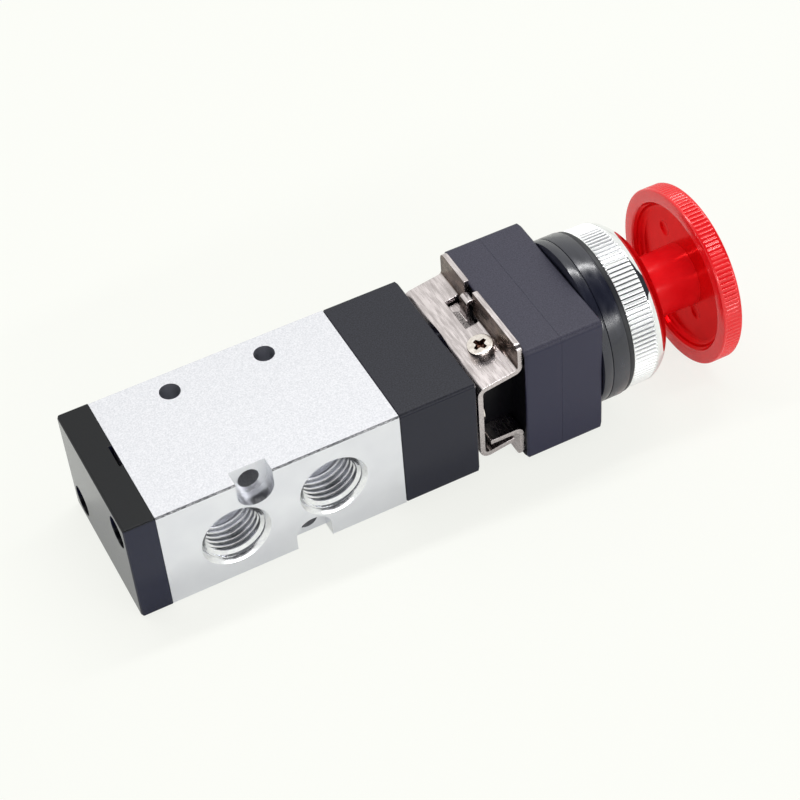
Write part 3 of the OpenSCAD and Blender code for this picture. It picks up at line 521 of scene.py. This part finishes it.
# %% Finishes on the frame's parts
finishes = {
    aluminium: ["valve_body"], cover_black: ["end_cover"], guide_black: ["guide_block"],
    block_black: ["operator_base", "operator_body"], glossy_black: ["collar_ring", "spacer_washer"],
    rubber: ["panel_gasket", "spool_seals", "pin_seal"],
    nickel: ["bracket", "latch_plate", "lower_clip"],
    screw_nickel: ["clamp_screw", "lower_clamp_screw", "bracket_screws"],
    black_steel: ["cover_screws", "guide_screws", "block_screws", "detent_plugs"],
    bright_steel: ["return_spring", "push_pin", "plunger_rod", "rod_clip", "detent_balls",
                   "detent_springs", "barrel_circlip"],
    turned_aluminium: ["spool"], brass: ["pin_bush"], zinc: ["barrel"], chrome: ["ring_nut"],
    red: ["plunger", "mushroom_cap"], natural: ["detent_carrier"],
}
finish_of = {name: finish for finish, names in finishes.items() for name in names}
for name, finish in finish_of.items():
    part = frame["nodes"][name]
    part.data.materials.clear()
    part.data.materials.append(finish)
print("parts with a finish:", len(finish_of))

# %% [markdown]
# A finished bmesh becomes a piece in the same way each time. It gets its mesh and its finish, it
# rides with the body that its part belongs to, and it takes the part's place, because two shapes
# in one place would flicker.

# %% From a bmesh to a piece
MOVING = {"plunger": "button", "mushroom_cap": "button"}


def as_piece(name, mesh, node, replace=True, smooth=32, finish=None, second=None):
    """Makes a bmesh in metres a piece that rides with a CAD node and takes its finish."""
    data = bpy.data.meshes.new(name)
    mesh.to_mesh(data)
    mesh.free()
    data.shade_smooth()
    data.set_sharp_from_angle(angle=math.radians(smooth))
    data.materials.append(finish or finish_of[node])
    if second:
        data.materials.append(second)
    piece = bpy.data.objects.new(name, data)
    bpy.context.scene.collection.objects.link(piece)
    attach(piece, MOVING.get(node, "housing"))
    if replace:
        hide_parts(node)
    print(name, "faces:", len(data.polygons))
    return piece


# %% [markdown]
# A drawing's edges are sharp, and a real edge never is: it is rounded by the mould, by tumbling or
# by the press, and that thin round is what catches the light. Each moulded or pressed part is
# copied from the frame, its triangles are merged into flat faces, and its sharp edges are
# bevelled. A copy is used because the frame's own part has to stay as it is.

# %% Pieces with eased edges
def merged_copy(node):
    """A bmesh of a CAD part, with its triangles joined into flat faces."""
    mesh = bmesh.new()
    mesh.from_mesh(frame["nodes"][node].data)
    bmesh.ops.remove_doubles(mesh, verts=mesh.verts, dist=0.0005 * MM)
    bmesh.ops.dissolve_limit(mesh, angle_limit=math.radians(0.5), verts=mesh.verts,
                             edges=mesh.edges)
    return mesh


def sharp_edges(mesh, degrees=32):
    """Edges where two faces meet at more than an angle."""
    return [edge for edge in mesh.edges
            if len(edge.link_faces) == 2 and edge.calc_face_angle() > math.radians(degrees)]


def ease(mesh, edges, width, segments=2):
    """Rounds edges by a width in metres."""
    bmesh.ops.bevel(mesh, geom=edges, offset=width, affect="EDGES", segments=segments,
                    profile=0.5, material=-1)


def weighted(piece):
    """Keeps flat faces flat in the shading, next to their rounded edges."""
    modifier = piece.modifiers.new("flat_faces", "WEIGHTED_NORMAL")
    modifier.keep_sharp = True


EASED = {"end_cover": 0.15, "bracket": 0.15, "latch_plate": 0.2, "lower_clip": 0.15}
for node, width in EASED.items():
    mesh = merged_copy(node)
    ease(mesh, sharp_edges(mesh), width * MM)
    weighted(as_piece(node + "_eased", mesh, node))

# %% [markdown]
# In the valve, the spring in the end cover gets shorter when the knob is pushed in, because the
# spool follows the knob towards the cover, and its far end stays in the cover's pocket. Here it is
# the frame's spring with its triangles merged, on a mesh of its own, at its drawn length.

# %% Return spring
spring = as_piece("return_spring_coil", merged_copy("return_spring"), "return_spring", smooth=60)
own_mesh(spring)

# %% [markdown]
# The body's port mouths and counterbores were machined after it was blasted and anodised, so they
# are bright bare metal. A face belongs to one of them if it lies a little behind the ported faces.

# %% Valve body, with bright machined recesses
BODY_EDGE = 0.03
RECESS_DEPTH = 3.2
SKIN = 0.05
mesh = merged_copy("valve_body")
ease(mesh, sharp_edges(mesh), BODY_EDGE * MM)
low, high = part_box("valve_body")
for face in mesh.faces:
    centre = face.calc_center_median()
    depth = min(min(centre[i] - low[i], high[i] - centre[i]) for i in range(3))
    behind = min(centre.y - low.y, high.y - centre.y)
    face.material_index = int(depth > SKIN * MM and behind < RECESS_DEPTH * MM)
print("machined faces:", sum(face.material_index for face in mesh.faces))
weighted(as_piece("valve_body_eased", mesh, "valve_body", second=cut_aluminium))

# %% [markdown]
# The guide block and the two halves of the square block come with rounded corners and eased ends
# from the drawing, so they only need smooth shading across those. The halves meet so well that a
# hairline shows where they part, so their edges in that plane are eased by very little. The neck
# and the end that faces the bracket are painted darker than the outside, as painted shade.

# %% Guide block and the square block's halves
HAIRLINE = 0.04
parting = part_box("operator_body")[0].x
neck_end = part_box("bracket")[1].x - 0.2 * MM
for node in ("guide_block", "operator_base", "operator_body"):
    mesh = merged_copy(node)
    meeting = [edge for edge in sharp_edges(mesh)
               if all(abs(v.co.x - parting) < 0.01 * MM for v in edge.verts)]
    if meeting:
        ease(mesh, meeting, HAIRLINE * MM, 1)
    mesh.normal_update()
    for face in mesh.faces:
        # painted shade: the neck and the end that faces the bracket take the darker, shineless finish
        inside = face.normal.x < -0.9 or face.calc_center_median().x < neck_end
        face.material_index = int(node == "operator_base" and inside)
    weighted(as_piece(node + "_eased", mesh, node, smooth=50, second=painted_shade_black))

# %% [markdown]
# The collar, the washer and the gasket are plain rings. A ring is a closed profile, given as
# distance along the axis and radius, and spun once round the spool axis. Spin works in
# millimetres about the X axis here, and one transform then takes the ring to its place.

# %% Turned parts
def turned(profile, steps, closed=True):
    """A bmesh in millimetres, turned about the X axis from (x, radius) points."""
    mesh = bmesh.new()
    points = [mesh.verts.new((x, 0, r)) for x, r in profile]
    pairs = list(zip(points, points[1:])) + ([(points[-1], points[0])] if closed else [])
    edges = [mesh.edges.new(pair) for pair in pairs]
    bmesh.ops.spin(mesh, geom=points + edges, axis=(1, 0, 0), angle=math.tau, steps=steps,
                   use_merge=True)
    bmesh.ops.remove_doubles(mesh, verts=mesh.verts, dist=0.001)
    bmesh.ops.recalc_face_normals(mesh, faces=mesh.faces)
    return mesh


def to_place(mesh):
    """Takes a bmesh from millimetres about the X axis to metres about the spool axis."""
    bmesh.ops.transform(mesh, verts=mesh.verts,
                        matrix=Matrix.Translation((0, 0, axis_z)) @ Matrix.Scale(MM, 4))


def arc(x, r, radius, first, last, steps=5):
    """Points on an arc about (x, r), by angles in degrees from +X towards a larger radius."""
    turns = [math.radians(first + (last - first) * i / steps) for i in range(steps + 1)]
    return [(x + radius * math.cos(a), r + radius * math.sin(a)) for a in turns]


bore = min(math.hypot(v.co.y, v.co.z - axis_z) for v in frame["nodes"]["collar_ring"].data.vertices)
for node, width in {"collar_ring": 0.35, "spacer_washer": 0.3, "panel_gasket": 0.25}.items():
    x0, x1 = along_x(node)
    outer = radius(node)
    mesh = turned([(x0, bore / MM), (x0, outer), (x1, outer), (x1, bore / MM)], 128)
    ease(mesh, sharp_edges(mesh), width)
    to_place(mesh)
    as_piece(node + "_ring", mesh, node)

# %% [markdown]
# Hand grips such as the nut's band and the knob's rim have fine flutes that run along the axis. A
# turned band is divided into a few steps to a flute, and each step is sunk by its share of the
# flute's depth. Near the band's ends the depth falls off along a quarter circle, so every flute
# has a rounded end.

# %% Flutes on a turned band
def flute_stations(x0, x1, end):
    """Places along a band, closer together near both ends, where its flutes run out."""
    near = [end * share for share in (0, 0.08, 0.3, 0.6, 1)]
    return [x0 + step for step in near] + [x1 - step for step in reversed(near)]


def cut_flutes(mesh, x0, x1, outer, shape, count, depth, end):
    """Sinks the band of a radius into flutes; shape is one flute's section, step by step."""
    steps = count * len(shape)
    for vert in mesh.verts:
        inside = min(vert.co.x - x0, x1 - vert.co.x)
        reach = math.hypot(vert.co.y, vert.co.z)
        if inside > 0 and abs(reach - outer) < 0.01:
            step = round(math.atan2(vert.co.z, vert.co.y) / math.tau * steps)
            fall = math.sqrt(1 - (1 - min(inside / end, 1)) ** 2)
            vert.co.yz = vert.co.yz * (1 - depth * shape[step % len(shape)] * fall / reach)


print("stations on a band of 10 mm:", [round(x, 2) for x in flute_stations(0, 10, 0.6)])

# %% [markdown]
# The ring nut is turned brass with a hard chrome plate. Its band is fluted for the fingers. The
# flutes are satin and spread the light of the room, and the narrow lands between them are polished
# and mirror the dark camera side, as the dome beside them does. The dome's section is an arc from
# 20 to 60 degrees, so its front half mirrors the red knob.

# %% Ring nut
NUT_FLUTES = 112
NUT_DEPTH = 0.3
NUT_FLUTE = (0, 0, 0, 0.42, 0.84, 1, 0.84, 0.42)
nut_x, nut_end = along_x("ring_nut")
plunger_r = radius("plunger")
dome_length, lip = 3.7, 2.6
dome_x = nut_end - dome_length
chamfer, run_out, inner_round = 0.25, 0.6, 0.15
flutes_x, flutes_end = nut_x + chamfer, dome_x - 0.2
mouth_r = plunger_r + 0.3
band_r = radius("ring_nut")
first, last = math.radians(20), math.radians(60)
dome_r = dome_length / (math.sin(last) - math.sin(first))
dome = arc(dome_x - dome_r * math.sin(first), band_r - dome_r * math.cos(first), dome_r,
           70, 30, 14)
band = [(x, band_r) for x in flute_stations(flutes_x, flutes_end, run_out)]
profile = [(nut_x, bore / MM), (nut_x, band_r - chamfer), *band, *dome,
           (nut_end + 0.1, dome[-1][1] - 0.25), (nut_end + 0.1, mouth_r + inner_round),
           (nut_end - 0.05, mouth_r), (nut_end - lip, mouth_r), (nut_end - lip, bore / MM)]
mesh = turned(profile, NUT_FLUTES * len(NUT_FLUTE))
cut_flutes(mesh, flutes_x, flutes_end, band_r, NUT_FLUTE, NUT_FLUTES, NUT_DEPTH, run_out)
for face in mesh.faces:
    centre = face.calc_center_median()
    sunk = band_r - math.hypot(centre.y, centre.z)
    in_band = flutes_x < centre.x < flutes_end
    face.material_index = int(in_band and 0.02 < sunk < NUT_DEPTH + 0.05)
print("satin faces in the flutes:", sum(face.material_index for face in mesh.faces))
to_place(mesh)
as_piece("ring_nut_fluted", mesh, "ring_nut", smooth=30, second=satin_chrome)

# %% [markdown]
# The knob is moulded in red acetal. Its back is hollow, so that fingers can pull it, and the wall
# of the hollow runs into the web in a wide soft fillet. The profile starts at the stem's tenon,
# goes out along the web, over the rim and back to the axis over the domed front. The web has
# closely spaced rings, because two round dimples are pushed into it afterwards.

# %% Mushroom knob
KNOB_FLUTES = 120
KNOB_DEPTH = 0.18
KNOB_FLUTE = (0, 0.3, 1, 0.3)
rim_x, front_x = along_x("mushroom_cap")
hollow, rim_length, rim_wall, flare, hollow_round = 2.2, 4.4, 3.0, 0.6, 1.4
tenon_r, tenon_l = 4.0, 1.9
web_start, web_step, web_rings = 6.6, 0.2, 32
rim_round, run_out = 0.4, 0.5
web_x = rim_x + hollow
rim_end = rim_x + rim_length
band_r = radius("mushroom_cap")
rim_in = band_r - rim_wall
rise = front_x - rim_end
sphere_r = (band_r ** 2 + rise ** 2) / (2 * rise)
front = [(front_x - sphere_r + math.sqrt(sphere_r ** 2 - r * r), r)
         for r in (18.6, 17, 15, 12, 9, 6, 3)]
web = [(web_x, web_start + web_step * i) for i in range(web_rings)]
band = [(x, band_r) for x in flute_stations(rim_x + rim_round, rim_end - rim_round, run_out)]
profile = [(web_x + tenon_l, 0), (web_x + tenon_l, tenon_r), (web_x, tenon_r), *web,
           *arc(web_x - hollow_round, rim_in - flare - hollow_round, hollow_round, 0, 90, 8),
           *arc(rim_x + rim_round, rim_in + 0.35, rim_round, 265, 180, 5),
           *arc(rim_x + rim_round, band_r - rim_round, rim_round, 180, 100, 4), *band,
           *arc(rim_end - rim_round, band_r - 0.5, 0.5, 80, 30, 3), *front, (front_x, 0)]
mesh = turned(profile, KNOB_FLUTES * len(KNOB_FLUTE), closed=False)
cut_flutes(mesh, rim_x + rim_round, rim_end - rim_round, band_r, KNOB_FLUTE, KNOB_FLUTES, KNOB_DEPTH,
           run_out)
print("knob web at, mm:", round(web_x, 2))

# %% [markdown]
# Two shallow round dimples from the moulding lie in the web, one above the stem and one below it.
# Each is pushed into the web's rings as a bowl: a vertex goes in by the height of a circle over its
# distance from the dimple's centre. The web and the wall of the hollow are the polished faces.

# %% Dimples and the polished hollow
DIMPLE_R = 1.7
DIMPLE_DEPTH = 0.45
dimples = [Vector((7.5, 7.4)), Vector((-5.6, -6.5))]
for vert in mesh.verts:
    if abs(vert.co.x - web_x) < 0.001:
        away = min((vert.co.yz - centre).length for centre in dimples)
        vert.co.x += DIMPLE_DEPTH * math.sqrt(1 - min(away / DIMPLE_R, 1) ** 2)
for face in mesh.faces:
    centre = face.calc_center_median()
    inside = math.hypot(centre.y, centre.z) < rim_in - flare / 2
    face.material_index = int(inside and rim_x + 0.5 < centre.x < web_x + DIMPLE_DEPTH + 0.01)
polished = sum(face.material_index for face in mesh.faces)
to_place(mesh)
as_piece("mushroom_knob", mesh, "mushroom_cap", smooth=40, second=deep_red)
print("polished faces in the hollow:", polished)

# %% [markdown]
# The plunger is one red moulding: a flange that slides in the barrel, and the stem that carries
# the knob. The flange sits almost level with the nut's front. The stem widens slightly towards the
# knob, and a small fillet joins it to the flange.

# %% Plunger and stem
rear_x = along_x("plunger")[0]
flange_x = nut_end + 0.3
wall, floor, hub_r, hub_back, rod_r, rod_cover = 1.6, 3.5, 5.4, 2.0, 3.0, 2.0
stem_r, stem_end_r = 6.75, 7.15
profile = [(flange_x - rod_cover, 0), (flange_x - rod_cover, rod_r), (rear_x + hub_back, rod_r),
           (rear_x + hub_back, hub_r), (flange_x - floor, hub_r), (flange_x - floor, plunger_r - wall),
           (rear_x, plunger_r - wall), (rear_x, plunger_r),
           *arc(flange_x - 0.3, plunger_r - 0.3, 0.3, 90, 0, 3),
           *arc(flange_x + 0.4, stem_r + 0.4, 0.4, 180, 265, 4), (web_x, stem_end_r),
           (web_x, tenon_r), (web_x + tenon_l, tenon_r), (web_x + tenon_l, 0)]
mesh = turned(profile, 96, closed=False)
to_place(mesh)
as_piece("plunger_and_stem", mesh, "plunger", smooth=40)

# %% [markdown]
# The ports have pipe threads, cut into the bare metal below a countersunk mouth. A thread inside a
# hole is a helical groove. One row of points along the hole, with a dip for each turn, is spun
# once while it moves along by one pitch, so its end meets its start one groove further on. The
# ends are then cut flat, and an outer wall closes the sleeve, which fits in the drawing's bore.

# %% Port threads
# by the radius of the hole: the pitch, and the radius of the thread's crest
THREADS = {6.6: (1.337, 5.72), 4.87: (0.907, 4.28)}
THREAD_DEPTH = 9.2
groove = ((0, 0), (0.2, 0), (0.52, 1), (0.66, 1), (0.98, 0))


def thread(pitch, crest, outer, mouth_r, length):
    """A closed sleeve in millimetres along +X from the port's face, grooved inside."""
    mesh = bmesh.new()
    turns = math.ceil(length / pitch) + 2
    row = [((turn - 1 + share) * pitch, crest + deep * (outer - 0.06 - crest))
           for turn in range(turns) for share, deep in groove]
    row.append(((turns - 1) * pitch, crest))
    points = [mesh.verts.new((x, 0, r)) for x, r in row]
    edges = [mesh.edges.new(pair) for pair in zip(points, points[1:])]
    steps = 64
    bmesh.ops.spin(mesh, geom=points + edges, axis=(1, 0, 0), dvec=(pitch / steps, 0, 0),
                   angle=math.tau, steps=steps)
    bmesh.ops.remove_doubles(mesh, verts=mesh.verts, dist=0.002)
    for vert in mesh.verts:
        reach = math.hypot(vert.co.y, vert.co.z)
        vert.co.yz = vert.co.yz * max(1, (mouth_r - vert.co.x) / reach)
    start = mouth_r - outer + 0.03
    for place, side in ((start, -1), (length, 1)):
        bmesh.ops.bisect_plane(mesh, geom=[*mesh.verts, *mesh.edges, *mesh.faces],
                               plane_co=(place, 0, 0), plane_no=(side, 0, 0), clear_outer=True)
    open_edges = [edge for edge in mesh.edges if len(edge.link_faces) == 1]
    made = bmesh.ops.extrude_edge_only(mesh, edges=open_edges)
    wall = new_verts(made)
    for vert in wall:
        vert.co.yz = vert.co.yz * (outer / math.hypot(vert.co.y, vert.co.z))
    bmesh.ops.bridge_loops(mesh, edges=edges_among(made, wall))
    bmesh.ops.recalc_face_normals(mesh, faces=mesh.faces)
    return mesh


print("thread pitches, mm:", [pitch for pitch, crest in THREADS.values()])

# %% [markdown]
# The frame's record says where each threaded hole is, how wide it is and which way it looks, so
# each sleeve is placed and sized from there. It adds to the body and takes no part's place.

# %% A thread in each port
body_low, body_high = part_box("valve_body")
for mount in frame["record"]["mounts"]:
    if mount["kind"] != "threaded_hole":
        continue
    hole_r, run = mount["dims"]["r_mm"], mount["dims"]["length_mm"]
    pitch, crest = THREADS[hole_r]
    mesh = thread(pitch, crest, hole_r - 0.02, hole_r + THREAD_DEPTH - run, THREAD_DEPTH - 0.1)
    side = mount["axis"][1]
    face = Vector(mount["pos_m"])
    face.y = body_high.y if side > 0 else body_low.y
    inward = Matrix.Rotation(math.radians(-90 * side), 4, "Z")
    bmesh.ops.transform(mesh, verts=mesh.verts,
                        matrix=Matrix.Translation(face) @ inward @ Matrix.Scale(MM, 4))
    as_piece("thread_" + mount["name"], mesh, "valve_body", replace=False, smooth=50,
             finish=cut_aluminium)

# %% [markdown]
# The cross-head screws have flat cheese heads. The head's outline is a circle, and the recess
# starts as a cross in its top face: filling between the circle and the cross leaves a cross-shaped
# hole, whose rim is pushed down and drawn in to make the tapered recess. Its walls are painted
# brown and darker, as painted shade.

# %% Cross-head screws
def cross_screw(head_r, head_h, shank_r, shank_l):
    """A screw in millimetres that stands on z = 0, with its shank along -Z."""
    mesh = bmesh.new()
    arm, half, depth = head_r * 0.56, head_r * 0.14, head_h * 0.6
    rim = bmesh.ops.create_circle(mesh, radius=head_r, segments=48)["verts"]
    rim_edges = list({edge for vert in rim for edge in vert.link_edges})
    made = bmesh.ops.extrude_edge_only(mesh, edges=rim_edges)
    top = new_verts(made)
    top_edges = edges_among(made, top)
    bmesh.ops.translate(mesh, verts=top, vec=(0, 0, head_h))
    corner = [(arm, -half), (arm, half), (half * 1.5, half * 1.5)]
    outline = [Matrix.Rotation(math.radians(90 * turn), 2) @ Vector(point)
               for turn in range(4) for point in corner]
    cross = [mesh.verts.new((*point, head_h)) for point in outline]
    cross_edges = [mesh.edges.new(pair) for pair in zip(cross, cross[1:] + cross[:1])]
    bmesh.ops.triangle_fill(mesh, edges=top_edges + cross_edges, use_beauty=True)
    made = bmesh.ops.extrude_edge_only(mesh, edges=cross_edges)
    low = new_verts(made)
    bmesh.ops.translate(mesh, verts=low, vec=(0, 0, -depth))
    bmesh.ops.scale(mesh, verts=low, vec=(0.6, 0.6, 1))
    bmesh.ops.triangle_fill(mesh, edges=edges_among(made, low), use_beauty=True)
    # the recess walls take the second finish, painted brown and darker as painted shade
    for face in mesh.faces:
        face.material_index = int(face.calc_center_median().z < head_h - 0.01
                                  and face.calc_center_median().xy.length < arm)
    made = bmesh.ops.extrude_edge_only(mesh, edges=rim_edges)
    neck = new_verts(made)
    bmesh.ops.scale(mesh, verts=neck, vec=(shank_r / head_r, shank_r / head_r, 1))
    made = bmesh.ops.extrude_edge_only(mesh, edges=edges_among(made, neck))
    foot = new_verts(made)
    bmesh.ops.translate(mesh, verts=foot, vec=(0, 0, -shank_l))
    bmesh.ops.edgeloop_fill(mesh, edges=edges_among(made, foot))
    bmesh.ops.recalc_face_normals(mesh, faces=mesh.faces)
    ease(mesh, top_edges, head_h * 0.1, 3)
    return mesh


print("helper:", cross_screw.__name__)

# %% [markdown]
# Two of these screws clamp the sloping plates, so they lean with them. The drawing's screw is
# measured along its own turned axes, which gives its seat and the radius of its head.

# %% Clamping screws
def screw_axes(node, turn):
    """The box of a screw in its own turned axes, in metres: lowest and highest corner."""
    points = [turn.inverted() @ v.co for v in frame["nodes"][node].data.vertices]
    low = Vector([min(p[i] for p in points) for i in range(3)])
    high = Vector([max(p[i] for p in points) for i in range(3)])
    return low, high


TILT = 9.5
CROSS_TURN = 22
CLAMP_SHANK_R = 1.45
upper_turn = Matrix.Rotation(math.radians(-TILT), 4, "Y")
lower_turn = upper_turn @ Matrix.Rotation(math.pi, 4, "X")
for node, turn, head_h, shank_l in (("clamp_screw", upper_turn, 1.9, 6),
                                    ("lower_clamp_screw", lower_turn, 1.52, 8)):
    low, high = screw_axes(node, turn)
    seat = Vector(((low.x + high.x) / 2, (low.y + high.y) / 2, high.z - head_h * MM))
    mesh = cross_screw((high.x - low.x) / 2 / MM, head_h, CLAMP_SHANK_R, shank_l)
    bmesh.ops.rotate(mesh, verts=mesh.verts, matrix=Matrix.Rotation(math.radians(CROSS_TURN), 3, "Z"))
    bmesh.ops.transform(mesh, verts=mesh.verts,
                        matrix=turn @ Matrix.Translation(seat) @ Matrix.Scale(MM, 4))
    as_piece(node + "_crossed", mesh, node, smooth=40, second=recess_shade)

# %% [markdown]
# Two larger screws hold the bracket's web to the guide block. They stand on opposite corners, so
# each one's place follows from the box of both.

# %% The two screws in the bracket's web
low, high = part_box("bracket_screws")
head_r, head_h, shank_r = 3.3, 2.1, 1.9
seat_x = high.x - head_h * MM
outward = Matrix.Rotation(math.radians(90), 4, "Y")
for side in (-1, 1):
    rise = high.z - axis_z - head_r * MM
    place = Vector((seat_x, side * (high.y - head_r * MM), axis_z + side * rise))
    mesh = cross_screw(head_r, head_h, shank_r, (seat_x - low.x) / MM)
    bmesh.ops.transform(mesh, verts=mesh.verts,
                        matrix=Matrix.Translation(place) @ outward @ Matrix.Scale(MM, 4))
    as_piece("bracket_screw_" + ("front" if side < 0 else "back"), mesh, "bracket_screws",
             smooth=40, second=recess_shade)
